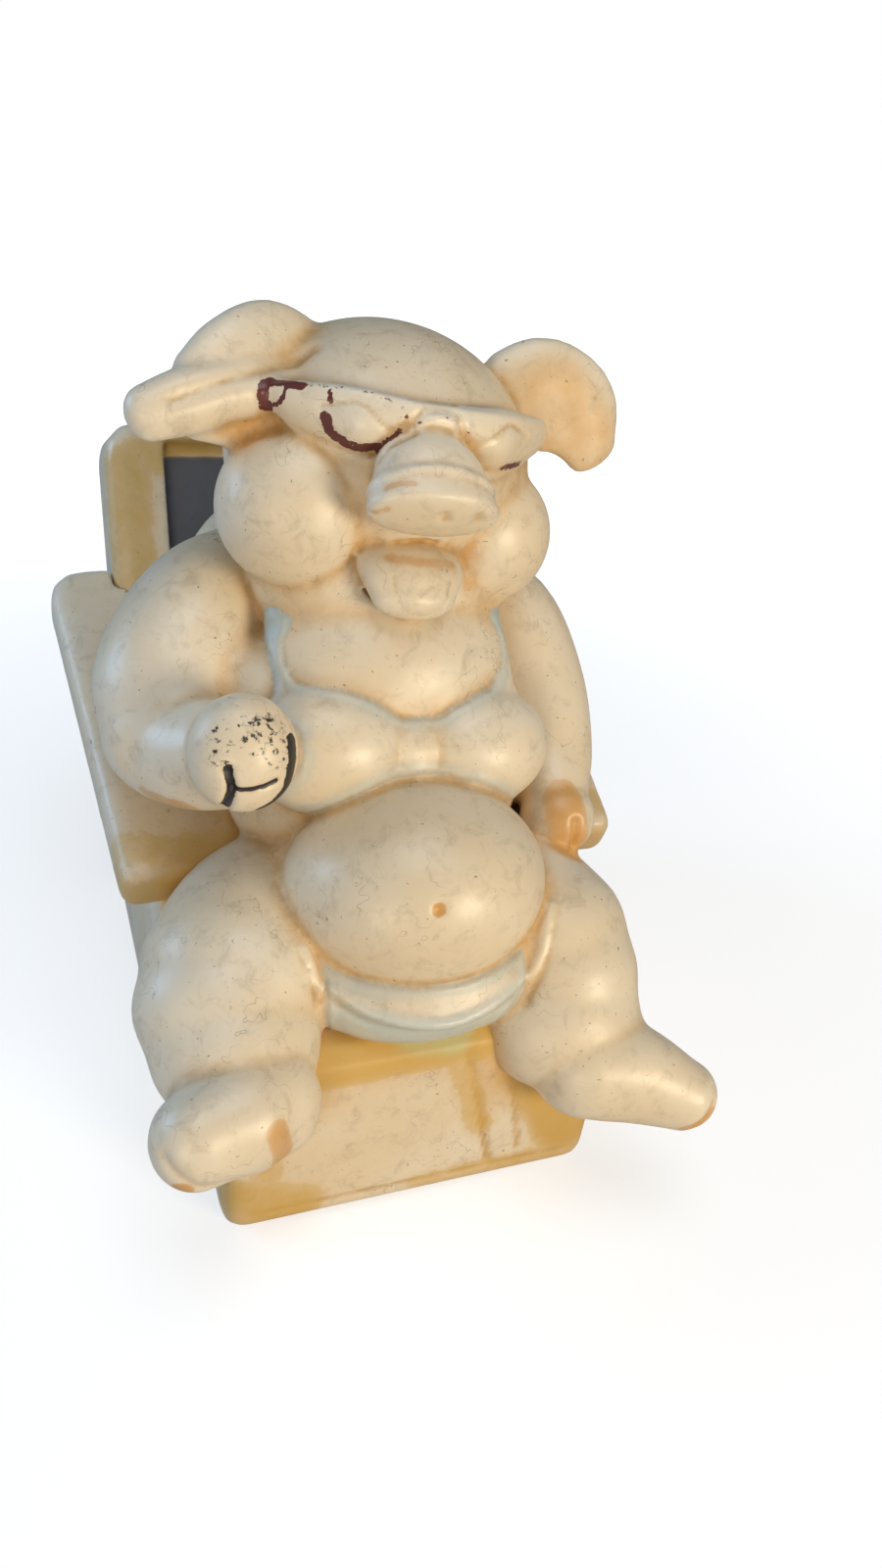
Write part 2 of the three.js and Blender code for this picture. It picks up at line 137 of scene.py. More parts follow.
class MoneyBankColours(PropertyGroup):
    ivory: FloatVectorProperty(
        name="Ivory glaze", description="Plain glaze", subtype="COLOR", size=3,
        default=(0.74, 0.6, 0.405), min=0, max=1)
    chalk: FloatVectorProperty(
        name="Chalk", description="Glaze rubbed pale on high places", subtype="COLOR", size=3,
        default=(0.8, 0.735, 0.62), min=0, max=1)
    amber: FloatVectorProperty(
        name="Amber stain", description="Stain that gathered in the creases", subtype="COLOR", size=3,
        default=(0.62, 0.34, 0.085), min=0, max=1)
    yellow: FloatVectorProperty(
        name="Yellow wash", description="Remains of yellow paint on the armchair", subtype="COLOR", size=3,
        default=(0.6, 0.36, 0.065), min=0, max=1)
    green: FloatVectorProperty(
        name="Green wash", description="Greenish remains of paint on the seat", subtype="COLOR", size=3,
        default=(0.5, 0.52, 0.26), min=0, max=1)
    orange: FloatVectorProperty(
        name="Orange wear", description="Orange wear marks where the paint is rubbed through",
        subtype="COLOR", size=3, default=(0.6, 0.3, 0.065), min=0, max=1)
    suit_blue: FloatVectorProperty(
        name="Suit blue", description="Remains of light blue paint on the suit", subtype="COLOR", size=3,
        default=(0.42, 0.5, 0.49), min=0, max=1)
    red_brown: FloatVectorProperty(
        name="Frame red", description="Remains of red-brown paint on the eyeglasses", subtype="COLOR",
        size=3, default=(0.12, 0.025, 0.018), min=0, max=1)
    black: FloatVectorProperty(
        name="Hoof black", description="Remains of black paint on the hooves", subtype="COLOR", size=3,
        default=(0.018, 0.015, 0.013), min=0, max=1)
    # Painted shade: this dark navy stands in for the shadow that fills the backrest's deep sunk panel behind
    # the head
    navy: FloatVectorProperty(
        name="Panel navy", description="Mottled dark paint on the backrest panel", subtype="COLOR",
        size=3, default=(0.035, 0.05, 0.085), min=0, max=1)


# Building blocks of the skin

def turned(at, half, turn):
    """Matrix that stretches, turns and moves a unit form; millimetres in, metres out."""
    euler = Euler([math.radians(a) for a in turn])
    size = Matrix.Diagonal((*[h * MM for h in half], 1))
    return Matrix.Translation(Vector(at) * MM) @ euler.to_matrix().to_4x4() @ size


def on_seat():
    return Matrix.Translation(SEAT_EDGE * MM)


def on_head():
    roll = Matrix.Rotation(math.radians(HEAD_ROLL), 4, "Y")
    return on_seat() @ Matrix.Translation(HEAD_AT * MM) @ roll


def ball(bm, base, at, half, turn=(0, 0, 0)):
    bmesh.ops.create_uvsphere(
        bm, u_segments=40, v_segments=24, radius=1, matrix=base @ turned(at, half, turn))


def tube(bm, base, stations, side=(1, 0, 0), ends=(1, 1)):
    """A limb through stations (x, y, z, half width, half depth), bridged ring to ring, ends rounded."""
    points = [Vector(s[:3]) for s in stations]
    sizes = [Vector((s[3], s[4], 0)) for s in stations]
    count = (len(points) - 1) * LIMB_RINGS
    rings = []
    for i in range(count + 1):
        t = i / count
        centre, tangent = along(points, t)
        size, _ = along(sizes, t)
        across = Vector(side)
        wide = (across - tangent * across.dot(tangent)).normalized()
        deep = tangent.cross(wide)
        turn = Matrix((wide, deep, tangent)).transposed().to_4x4()
        stand = Matrix.Translation(centre * MM) @ turn
        shape = stand @ Matrix.Diagonal((size.x * MM, size.y * MM, MM, 1))
        made = bmesh.ops.create_circle(
            bm, cap_ends=False, radius=1, segments=LIMB_SIDES, matrix=base @ shape)
        rings.append(list({e for v in made["verts"] for e in v.link_edges}))
        if i in (0, count):
            reach = min(size.x, size.y) * ends[0 if i == 0 else 1]
            cap = stand @ Matrix.Diagonal((size.x * MM, size.y * MM, max(reach, 0.2) * MM, 1))
            bmesh.ops.create_uvsphere(
                bm, u_segments=LIMB_SIDES, v_segments=LIMB_SIDES // 2, radius=1, matrix=base @ cap)
    for lower, upper in zip(rings, rings[1:]):
        bmesh.ops.bridge_loops(bm, edges=lower + upper)


def along(points, t):
    """Point and direction at t from 0 to 1 on a smooth line through the points."""
    last = len(points) - 1
    i = min(int(t * last), last - 1)
    f = t * last - i
    p1, p2 = points[i], points[i + 1]
    p0 = points[i - 1] if i > 0 else p1 * 2 - p2
    p3 = points[i + 2] if i + 2 <= last else p2 * 2 - p1
    m1, m2 = (p2 - p0) / 2, (p3 - p1) / 2
    f2, f3 = f * f, f * f * f
    place = p1 * (2 * f3 - 3 * f2 + 1) + m1 * (f3 - 2 * f2 + f) + p2 * (3 * f2 - 2 * f3) + m2 * (f3 - f2)
    slope = p1 * (6 * f2 - 6 * f) + m1 * (3 * f2 - 4 * f + 1) + p2 * (6 * f - 6 * f2) + m2 * (3 * f2 - 2 * f)
    return place, slope.normalized()


# Forms of the pig's pieces, measured from the seat's edge or the head: each row is a ball (centre,
# half size, turn) or a limb ([stations], side, ends)
SKIN_FORMS = {
    "body": (on_seat, [
        ((0, 36, 16), (33, 27, 22)),
        ((0, 60, 34), (36, 34, 29), (40, 0, 0)),
        ((1, 80, 64), (26, 23, 22)),
        ((0, 103, 54), (38, 36, 28), (20, 0, 0)),
        ((0, 25, 24.5), (29, 27, 22.5), (-20, 0, 0)),
        ((0, 58, 59), (29, 19, 21), (-30, 0, 0)),
        ((-28, 60, 54), (10, 14, 12)),
    ]),
    "head": (on_head, [
        ((0, 2, 0.8), (34, 31, 28.8)),
        ((-21, -13, -7), (17, 16, 17)),
        ((22, -12, -9), (16, 15, 16)),
        ((0, -16, -2), (15, 14, 14)),
        ((1, -11, -22), (29, 18.5, 20)),
    ]),
    "snout": (on_head, [
        ([(-1, -18, 11, 8, 6), (-1, -22, 11, 9.5, 7.5), (-1, -26, 10, 10, 7.8), (-1, -30, 8.5, 11.3, 8.2),
          (-1, -33, 6.5, 12.5, 8), (-1, -37, 3, 14, 8.2)], (1, 0, 0), (1, 0.3)),
    ]),
    "tongue": (on_head, [
        ([(0.8, -19, -11, 10, 5), (0.8, -28, -12.5, 11.8, 5.5), (1, -32.5, -17, 9.5, 4.5)],),
    ]),
    "eyeglasses": (on_head, [
        ([(-31, -8, 14, 2.6, 2.6), (-26, -14.5, 14.5, 4.4, 3.4), (-15, -22, 15, 6.4, 3.8),
          (-4, -25.5, 18, 3.4, 3.8), (4, -25.5, 18, 3.4, 3.8), (15, -22, 15, 6.4, 3.8),
          (26, -14.5, 14.5, 4.4, 3.4), (31, -8, 14, 2.6, 2.6)], (0, 0, 1)),
    ]),
    "left_ear": (on_head, [
        ([(-18, 6, 15, 11, 6), (-27, 2, 17.6, 12, 6), (-35, -3, 15.8, 11, 6), (-42, -7, 12, 8.5, 5)],
         (0, 0.4, 1)),
        ([(-25, -5, 14, 6, 6), (-35, -8, 13, 6.5, 6), (-45, -11, 11, 6.5, 5.5), (-53, -13, 8, 5.5, 4.5)],
         (0, 0.4, 1)),
        ([(-22, 0, 8, 9, 5), (-32, -4, 8, 7.5, 5), (-43, -8, 8, 5.5, 4)], (0, 0.4, 1)),
    ]),
    "right_ear": (on_head, [
        ([(26, 5, 18, 9, 4), (36, 4, 20, 12, 4.5), (45, 2, 16, 12, 4.5), (51, 0, 9, 7, 3.5)], (0, 0.3, 1)),
    ]),
    "left_leg": (on_seat, [
        ([(-18, 48, 8, 16, 16), (-30, 36, 9, 20, 18), (-39, 22, 7, 21, 19)],),
        ((-42, 16, 5), (20, 17, 17)),
        ((-42, 8, 0), (18, 16, 16)),
    ]),
    "right_leg": (on_seat, [
        ([(18, 46, 8, 16, 16), (27, 32, 9, 19, 18), (33, 19, 7, 19, 18)],),
        ((34, 12, 2), (18, 17, 17)),
        ((32, 5, -5), (19, 16, 16)),
    ]),
    "left_foot": (on_seat, [
        ([(-37, -5, -4, 12, 10), (-44, -7, -3, 12, 12), (-53, -11, -3, 10.5, 9.5)], (0, 0, 1)),
    ]),
    "right_foot": (on_seat, [
        ([(34, -5, -10, 12, 12), (44, -8, -12, 12, 11), (56, -14, -16, 8.5, 8)], (0, 0, 1)),
    ]),
    "left_arm": (on_seat, [
        ([(-24, 86, 68, 14, 14), (-36, 78, 64, 16, 16), (-45, 66, 55, 17, 16), (-47, 56, 47, 15, 14)],),
        ([(-47, 54, 46, 13, 13), (-43, 46, 48, 12, 12), (-38, 38, 52, 11, 11)],),
    ]),
    "right_arm": (on_seat, [
        ([(24, 84, 64, 14, 14), (36, 78, 58, 15, 15), (42, 66, 47, 13, 13), (43, 54, 36, 11, 11),
          (41, 45, 31, 9, 9)],),
    ]),
    "left_hoof": (on_seat, [((-37, 31, 57), (11, 9, 12), (-20, 0, 0))]),
    "right_hoof": (on_seat, [((40, 38, 27), (9, 9, 9))]),
    "bikini_top": (on_seat, [
        ((-16, 42, 49.5), (18, 13, 14), (-30, 0, 0)),
        ((16.5, 42, 46.5), (18, 13, 14), (-30, 0, 0)),
        ((0, 43, 47), (14, 12, 11), (-30, 0, 0)),
        ([(-20, 46, 56, 8, 5), (-21.5, 60, 70, 5.2, 4.5), (-19, 72, 82, 4.5, 4.5)],),
        ([(20, 46, 56, 8, 5), (21.5, 60, 70, 5.2, 4.5), (19, 72, 82, 4.5, 4.5)],),
    ]),
    "bikini_bottom": (on_seat, [
        ((0, 17, 7), (28, 19, 14)),
        ([(-26, 16, 16, 3, 3), (-14, 4, 10, 3, 3), (0, 0, 7, 3, 3), (14, 4, 10, 3, 3), (26, 16, 16, 3, 3)],
         (0, 0, 1)),
    ]),
}
MOUTH = ((1.5, -28.5, -13.5), (12, 7.5, 8.5), (20, 0, 0))


def add_form(bm, name):
    """Adds a piece's balls and limbs."""
    base, rows = SKIN_FORMS[name]
    for row in rows:
        build = tube if isinstance(row[0], list) else ball
        build(bm, base(), *row)


# Melting forms into soft skins

def rounds(softness, grain):
    """Rounds of smoothing that spread a mesh of this grain by this softness."""
    return max(int(round(4 * (softness / grain) ** 2)), 0)


def placed(name, data):
    """A new object in the scene."""
    thing = bpy.data.objects.new(name, data)
    bpy.context.scene.collection.objects.link(thing)
    return thing


def holder_of(bm, name):
    mesh = bpy.data.meshes.new(name)
    bm.to_mesh(mesh)
    bm.free()
    return placed(name, mesh)


def voxels(holder, grain):
    remesh = holder.modifiers.new("Melt", "REMESH")
    remesh.mode = "VOXEL"
    remesh.voxel_size = grain


def soften(holder, count):
    smooth = holder.modifiers.new("Soften", "SMOOTH")
    smooth.factor = 0.5
    smooth.iterations = count


def evaluated(holder):
    bpy.context.view_layer.update()
    return holder.evaluated_get(bpy.context.evaluated_depsgraph_get())


def drop(holder):
    mesh = holder.data
    bpy.data.objects.remove(holder)
    bpy.data.meshes.remove(mesh)


def melted(bm, grain, softness, holes=None, extra=None):
    """The overlapping forms of a bmesh as one closed skin, with holes cut and extra forms put back."""
    holder = holder_of(bm, "melt")
    voxels(holder, grain)
    tools = []
    for form, operation in ((holes, "DIFFERENCE"), (extra, "UNION")):
        if form is None:
            continue
        tool = holder_of(form, "tool")
        voxels(tool, grain)
        boolean = holder.modifiers.new(operation, "BOOLEAN")
        boolean.operation = operation
        boolean.solver = "EXACT"
        boolean.object = tool
        tools.append(tool)
    if tools:
        voxels(holder, grain)
    soften(holder, rounds(softness, grain))
    mesh = bpy.data.meshes.new_from_object(evaluated(holder))
    for gone in (holder, *tools):
        drop(gone)
    return mesh


def smoothed_places(mesh, count):
    """Where the vertices come to rest after more rounds of smoothing."""
    holder = placed("soften", mesh)
    soften(holder, count)
    places = read_vectors(evaluated(holder).data, "co")
    bpy.data.objects.remove(holder)
    return places


def read_vectors(mesh, key):
    flat = np.empty(len(mesh.vertices) * 3, dtype=np.float32)
    mesh.vertices.foreach_get(key, flat)
    return flat.reshape(-1, 3).astype(np.float64)


def write_places(mesh, places):
    mesh.vertices.foreach_set("co", places.astype(np.float32).ravel())
    mesh.update()


def write_mask(mesh, name, values):
    layer = mesh.attributes.get(name) or mesh.attributes.new(name, "FLOAT", "POINT")
    layer.data.foreach_set("value", np.clip(values, 0, 1).astype(np.float32))


def fade(distance, reach, soft):
    """1 within reach, falling smoothly to 0 at reach plus soft."""
    t = np.clip((distance - reach) / soft, 0, 1)
    return 1 - t * t * (3 - 2 * t)


def tree_of(mesh):
    bm = bmesh.new()
    bm.from_mesh(mesh)
    tree = BVHTree.FromBMesh(bm)
    bm.free()
    return tree


class Surface:
    """A mesh that lines can be laid on, to press it in or out and to mask paint."""

    def __init__(self, mesh):
        self.mesh = mesh
        self.places = read_vectors(mesh, "co")
        self.normals = read_vectors(mesh, "normal")
        self.tree = tree_of(mesh)
        self.near = KDTree(len(self.places))
        for index, place in enumerate(self.places):
            self.near.insert(place, index)
        self.near.balance()

    def distance(self, base, line, reach):
        """Distance of every vertex, in millimetres, from a smooth line laid on the surface."""
        points = [Vector(p) for p in line]
        length = sum((b - a).length for a, b in zip(points, points[1:]))
        count = max(int(length / LINE_STEP), 1)
        far = np.full(len(self.places), FAR)
        for i in range(count + 1):
            centre = along(points, i / count)[0] if len(points) > 1 else points[0]
            spot = self.tree.find_nearest(base @ (centre * MM))[0]
            for _, index, gap in self.near.find_range(spot, reach * MM):
                far[index] = min(far[index], gap / MM)
        return far

    def press(self, base, line, width, depth):
        """Presses a groove in along a line, or raises a bead where depth is negative."""
        far = self.distance(base, line, width * 3) / width
        self.places -= self.normals * (np.exp(-far * far) * depth * MM)[:, None]

    def press_all(self, base, rows):
        for line, width, depth in rows:
            self.press(base, line, width, depth)

    def marks(self, base, rows):
        """The strongest of several marks, each (line, reach, soft edge, strength)."""
        mask = np.zeros(len(self.places))
        for line, reach, soft, strength in rows:
            mask = np.maximum(mask, strength * fade(self.distance(base, line, reach + soft), reach, soft))
        return mask

    def target(self):
        return self.tree, self.places.min(axis=0), self.places.max(axis=0)

    def settle(self):
        write_places(self.mesh, self.places)
        self.normals = read_vectors(self.mesh, "normal")

    def relief(self, softness, grain, scale):
        """How far each place lies in a hollow (first) or on a ridge (second), 0 to 1."""
        shift = smoothed_places(self.mesh, rounds(softness, grain)) - self.places
        lift = np.einsum("ij,ij->i", shift, self.normals) / (scale * MM)
        return np.clip(lift, 0, 1), np.clip(-lift, 0, 1)


def closeness(places, target, reach):
    """1 on a form's surface, 0 at reach (metres) and beyond; the target is (tree, low, high)."""
    tree, low, high = target
    close = np.zeros(len(places))
    inside = np.all((places > low - reach) & (places < high + reach), axis=1)
    for index in np.nonzero(inside)[0]:
        hit = tree.find_nearest(places[index], reach)
        if hit[0] is not None:
            close[index] = 1 - hit[3] / reach
    return close


def form_target(name):
    """Search tree and box of a piece's forms."""
    bm = bmesh.new()
    add_form(bm, name)
    spots = np.array([v.co for v in bm.verts])
    tree = BVHTree.FromBMesh(bm)
    bm.free()
    return tree, spots.min(axis=0), spots.max(axis=0)


def node_target(name):
    """Search tree and box of a solid."""
    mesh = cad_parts[name].data
    spots = read_vectors(mesh, "co")
    return tree_of(mesh), spots.min(axis=0), spots.max(axis=0)


def edge_ends(mesh):
    ends = np.empty(len(mesh.edges) * 2, dtype=np.int64)
    mesh.edges.foreach_get("vertices", ends)
    return ends[0::2], ends[1::2]


def spread(values, mesh, count):
    """Evens values out over a mesh's edges."""
    a, b = edge_ends(mesh)
    size = len(mesh.vertices)
    share = np.bincount(a, minlength=size) + np.bincount(b, minlength=size)
    for _ in range(count):
        total = np.bincount(a, values[b], size) + np.bincount(b, values[a], size)
        values = 0.5 * values + 0.5 * total / np.maximum(share, 1)
    return values


def piece_labels(mesh, places, names):
    """The number of the piece that each vertex belongs to, with even borders."""
    best = np.full(len(places), -1.0)
    own = np.zeros(len(places), dtype=np.int32)
    for number, name in enumerate(names):
        close = closeness(places, form_target(name), LABEL_REACH)
        close = spread(close ** 3, mesh, LABEL_ROUNDS)
        better = close > best
        best[better] = close[better]
        own[better] = number
    return own


def pig_skin():
    """The whole pig melted into one skin, with each vertex's own piece and the masks for its paint."""
    if "skin" in _cache:
        return _cache["skin"]
    sizes = bpy.context.scene.money_bank_sizes
    grain = sizes.skin_grain
    bm, holes, extra = bmesh.new(), bmesh.new(), bmesh.new()
    for name in SKIN_FORMS:
        add_form(extra if name == "tongue" else bm, name)
    ball(holes, on_head(), *MOUTH)
    mesh = melted(bm, grain, sizes.face_softness, holes, extra)
    sharp = read_vectors(mesh, "co")
    even = smoothed_places(mesh, rounds(sizes.skin_softness, grain))
    soft = smoothed_places(mesh, rounds(sizes.leg_softness, grain))
    face = region(sharp, on_head(), (0, -30, 0), (30, 24, 32))
    folds = np.maximum.reduce([region(sharp, on_seat(), centre, half) for centre, half in FOLDS])
    places = even + (soft - even) * folds[:, None]
    places = places + (sharp - places) * face[:, None]
    write_places(mesh, places)
    names = list(SKIN_FORMS)
    own = piece_labels(mesh, sharp, names)
    surface = Surface(mesh)
    carve(surface)
    gap = hem(surface, own, names)
    surface.settle()
    layer = mesh.attributes.new("own_piece", "INT", "POINT")
    layer.data.foreach_set("value", own)
    paint_skin(surface, own == names.index("tongue"), gap)
    layer = mesh.attributes.new("soft_normal", "FLOAT_VECTOR", "POINT")
    layer.data.foreach_set("vector", surface.normals.astype(np.float32).ravel())
    _cache["skin"] = (surface, names)
    return _cache["skin"]


# Knees, left elbow, chest and left armpit, as (centre, half size), where folds are filled softer
FOLDS = (
    ((-43, 14, 2), (34, 24, 26)), ((38, 10, 2), (30, 24, 24)), ((-46, 60, 48), (18, 24, 20)),
    ((0, 54, 64), (44, 24, 24)), ((-28, 60, 54), (16, 20, 24)),
)


def region(places, base, centre, half):
    """1 at the middle of a stretched ball, smoothly 0 at its skin."""
    local = (places - np.array(base @ (Vector(centre) * MM))) / (np.array(half) * MM)
    return fade(np.linalg.norm(local, axis=1), 0.5, 0.5)


def hem_gap(surface, own, numbers):
    """Distance in millimetres of each vertex inside the numbered pieces from their border."""
    inside = np.isin(own, numbers)
    a, b = edge_ends(surface.mesh)
    border = np.unique(np.concatenate([a[inside[a] & ~inside[b]], b[inside[b] & ~inside[a]]]))
    kd = KDTree(max(len(border), 1))
    for index in border:
        kd.insert(surface.places[index], int(index))
    kd.balance()
    gap = np.full(len(own), FAR)
    for index in np.nonzero(inside)[0]:
        gap[index] = kd.find(surface.places[index])[2] / MM
    return gap, inside


def hem(surface, own, names):
    """Lifts the suit's cloth a little off the skin, beaded along its hems; gives the distance to them."""
    numbers = [names.index("bikini_top"), names.index("bikini_bottom")]
    gap, inside = hem_gap(surface, own, numbers)
    bead = np.exp(-((gap - BEAD_AT) / BEAD_WIDTH) ** 2)
    lift = np.where(inside, HEM_LIFT * (1 - fade(gap, 0.2, 1.2)) + HEM_LIFT * bead, 0)
    surface.places += surface.normals * (lift * MM)[:, None]
    return gap


# Lines on the head: rims and bridge of the eyeglasses, then grooves as (line, width, depth)
LEFT_RIM_TOP = [(-32, -10, 14), (-26, -16, 17.5), (-16, -23, 20), (-5, -27, 20)]
LEFT_RIM_LOW = [(-32, -10, 14), (-28, -15, 11), (-21, -21, 9), (-13, -26, 8.5), (-6, -28, 12)]
BRIDGE = [(-6, -28, 17), (0, -29, 19.5), (6, -28, 17)]
RIGHT_RIM_TOP = [(5, -27, 20), (15, -24, 19.5), (25, -17, 18), (33, -7, 15)]
RIGHT_RIM_LOW = [(6, -28, 12), (12, -26, 8.5), (20, -22, 9), (28, -15, 11), (33, -7, 15)]
HEAD_GROOVES = (
    ([(-20, -4, 22), (-27, -7, 19), (-34, -11, 18), (-42, -14, 15), (-49, -16, 12)], 1.6, 0.9),
    ([(-26, -9, 8), (-36, -12, 7)], 4.0, 1.2),
    ([(40, -5, 18), (44, -5, 12)], 7.0, 1.4),
    ([(-5, -34, -12), (-3, -36, -17), (1.5, -37, -19), (6, -36, -17), (8, -34, -12)], 0.5, 0.25),
    ([(-0.4, -39, 5.5), (0.4, -39.5, 3.5)], 1.0, 0.9),
    ([(6.6, -39, 5.5), (7.4, -39.5, 3.5)], 1.0, 0.9),
)

# Lines measured from the seat's edge: navel, clefts of the hooves, waistband, then grooves as above
NAVEL = [(-4, 1, 36)]
LEFT_CLEFT = [(-43, 20, 59), (-42, 20, 54), (-43, 22, 48), (-43, 25, 46)]
CLEFT_BRANCH = [(-42, 20, 54), (-37, 18, 54), (-31, 20, 55)]
RIGHT_CLEFT = [(41, 28, 32), (41, 28, 22)]
WAISTBAND = [
    (-29, 15, 17), (-24, 6, 14), (-14, -1, 10), (0, -4, 8), (14, -1, 10), (24, 6, 14), (29, 15, 17)]
SEAT_GROOVES = (
    (NAVEL, 1.2, 0.8),
    (LEFT_CLEFT, 1.0, 1.3),
    (CLEFT_BRANCH, 0.8, 0.8),
    (RIGHT_CLEFT, 1.1, 1.2),
    ([(-60, -16, 0), (-54, -20, -6), (-46, -18, -10)], 1.6, 0.7),
    ([(60, -20, -14), (56, -22, -20)], 1.4, 0.8),
    (WAISTBAND, 1.2, -0.8),
    ([(x, y - 2, z - 3) for x, y, z in WAISTBAND], 0.9, 0.4),
)


def carve(surface):
    """Wrinkles, rims, clefts and folds pressed into or raised from the pig's skin."""
    head = on_head()
    for y, width in ((-22.5, 8), (-25.5, 9), (-28.5, 9), (-31.5, 10)):
        surface.press(head, [(-1 - width, y + 1, 10), (-1, y, 24), (-1 + width, y + 1, 10)], 0.8, 0.45)
    surface.press(head, [(-14, -33, 4), (-9, -37, 10), (-1, -38, 12), (7, -37, 10), (12, -33, 4)], 1.0, -0.6)
    for rim in (LEFT_RIM_TOP, LEFT_RIM_LOW, BRIDGE, RIGHT_RIM_TOP, RIGHT_RIM_LOW):
        surface.press(head, rim, 0.9, -0.3)
    for side in (-1, 1):
        surface.press(head, [(15 * side, -26, 14)], 4.5, -1.0)
        surface.press(head, [(21 * side, -20, 16), (15 * side, -24, 18), (9 * side, -27, 15)], 0.7, 0.4)
    surface.press_all(head, HEAD_GROOVES)
    surface.press_all(on_seat(), SEAT_GROOVES)


# Marks of stain and paint as (line, reach, soft edge, strength), measured from the seat or the head
SEAT_AMBER = (
    (NAVEL, 1.1, 0.7, 1.0),
    ([(38, 32, 40), (38, 28, 32), (40, 28, 26)], 2.5, 5, 0.8),
    ([(-38, -18, 2), (-36, -18, -8)], 1.2, 3, 0.7),
    ([(60, -22, -18), (56, -24, -22)], 1.5, 4, 0.7),
    ([(-58, -20, -8)], 1.2, 2, 0.9),
    ([(-54, 44, 40), (-48, 36, 40)], 1.0, 4, 0.5),
)
HEAD_AMBER = (
    ([(-13, -37, 3), (-9, -38, 7), (-7, -39, 8)], 0.3, 1.4, 0.45),
    ([(14, -28, -8), (15, -24, -16)], 1.0, 4.0, 0.38),
    ([(-28, -8, 8), (-38, -12, 6)], 2, 6, 0.25),
    ([(-14, -22, 4), (-16, -20, -2)], 2, 5, 0.3),
)
TONGUE_AMBER = (([(-6, -32, -8), (1, -33, -8), (9, -32, -8)], 0.5, 2.0, 0.55),)
EAR_STAIN = (([(37, -4, 19), (45, -4, 12)], 6, 7, 0.7),)
SEAT_BLACK = (
    (LEFT_CLEFT, 0.5, 0.9, 1.0),
    (CLEFT_BRANCH, 0.2, 0.9, 0.9),
    ([(-27, 26, 62), (-27, 23, 56), (-28, 22, 50), (-33, 22, 45)], 0.6, 2.2, 0.9),
    ([(-44, 24, 66), (-38, 22, 68), (-31, 24, 66)], 3.0, 4, 0.44),
    ([(-34, 20, 64), (-29, 22, 60)], 2.0, 3, 0.43),
    ([(-46, 23, 60), (-43, 21, 60)], 0.8, 2, 0.45),
)
HEAD_RED = (
    ([(-25, -17, 18), (-30, -12, 16.5)], 0.8, 1.0, 0.72),
    ([(-30, -12, 16.5), (-31, -11, 14.5), (-30, -12.5, 13)], 0.9, 1.0, 0.75),
    ([(-30, -12.5, 13), (-27.5, -15, 14.5), (-27, -15, 16)], 0.3, 0.8, 0.7),
    ([(-24, -18, 18.5), (-16, -23, 20), (-10, -26, 20)], 0.3, 0.9, 0.5),
    ([(-9, -26, 19.5), (-7, -27, 18)], 0.4, 0.8, 0.5),
    ([(-21, -21.5, 19), (-20.6, -21.8, 17.5)], 0.4, 0.7, 0.7),
    ([(-21, -22, 14.5), (-19.5, -23, 12), (-15, -25.5, 10.5), (-12, -27, 11)], 0.9, 1.0, 0.7),
    ([(-12, -27, 11), (-9, -28, 13), (-8, -28, 15.5)], 0.5, 1.0, 0.62),
    (BRIDGE, 0.2, 0.8, 0.5),
    (RIGHT_RIM_TOP[:3], 0.2, 0.7, 0.35),
    ([(17, -24, 10), (23, -20, 10)], 0.5, 1.4, 0.62),
    ([(27, -15, 13), (28, -14, 11)], 0.3, 1.0, 0.5),
)
SEAT_RED = (([(-62, 60, 52)], 0.8, 1.2, 0.6),)
SUIT_BLUE = (
    ([(-21, 62, 72), (-20, 72, 82)], 5, 6, 0.95),
    ([(21, 62, 72), (20, 72, 82)], 5, 6, 0.9),
    ([(-20, 2, 4), (20, 2, 4)], 4, 8, 0.75),
)


def write_relief(surface, grain, creases, stain):
    """Masks of creases and ridges, with the given extra amber added to the creases; gives the broad creases.
    """
    (broad, full), (fine, fine_full) = creases
    deep, high = surface.relief(broad, grain, full)
    thin, _ = surface.relief(fine, grain, fine_full)
    write_mask(surface.mesh, "crease", np.maximum(deep, stain))
    write_mask(surface.mesh, "fine_crease", thin)
    write_mask(surface.mesh, "ridge", high)
    return deep


def paint_skin(surface, tongue, gap):
    """Masks of stain, of amber darkening near the chair, rubbing and paint remains; tongue marks its own
    places, gap is the way to a hem.
    """
    mesh = surface.mesh
    head, seat = on_head(), on_seat()
    touch = np.zeros(len(gap))
    for node in CHAIR_NODES:
        touch = np.maximum(touch, closeness(surface.places, node_target(node), PIG_TOUCH_REACH))
    # Amber darkening where the pig comes near the chair, together with the stain on the right ear
    stain = np.maximum(0.9 * touch ** 2, surface.marks(head, EAR_STAIN))
    deep = write_relief(surface, bpy.context.scene.money_bank_sizes.skin_grain, PIG_CREASES, stain)
    write_mask(mesh, "amber_paint", np.maximum.reduce([
        surface.marks(seat, SEAT_AMBER), surface.marks(head, HEAD_AMBER),
        tongue * surface.marks(head, TONGUE_AMBER)]))
    write_mask(mesh, "black_paint", surface.marks(seat, SEAT_BLACK))
    write_mask(mesh, "red_paint", np.maximum(surface.marks(head, HEAD_RED), surface.marks(seat, SEAT_RED)))
    edge = np.exp(-((gap - 1.5) / 3.0) ** 2)
    wash = np.maximum.reduce([0.14 + 0.45 * edge, surface.marks(seat, SUIT_BLUE), 0.7 * deep])
    write_mask(mesh, "blue_paint", np.where(gap < FAR, wash, 0))


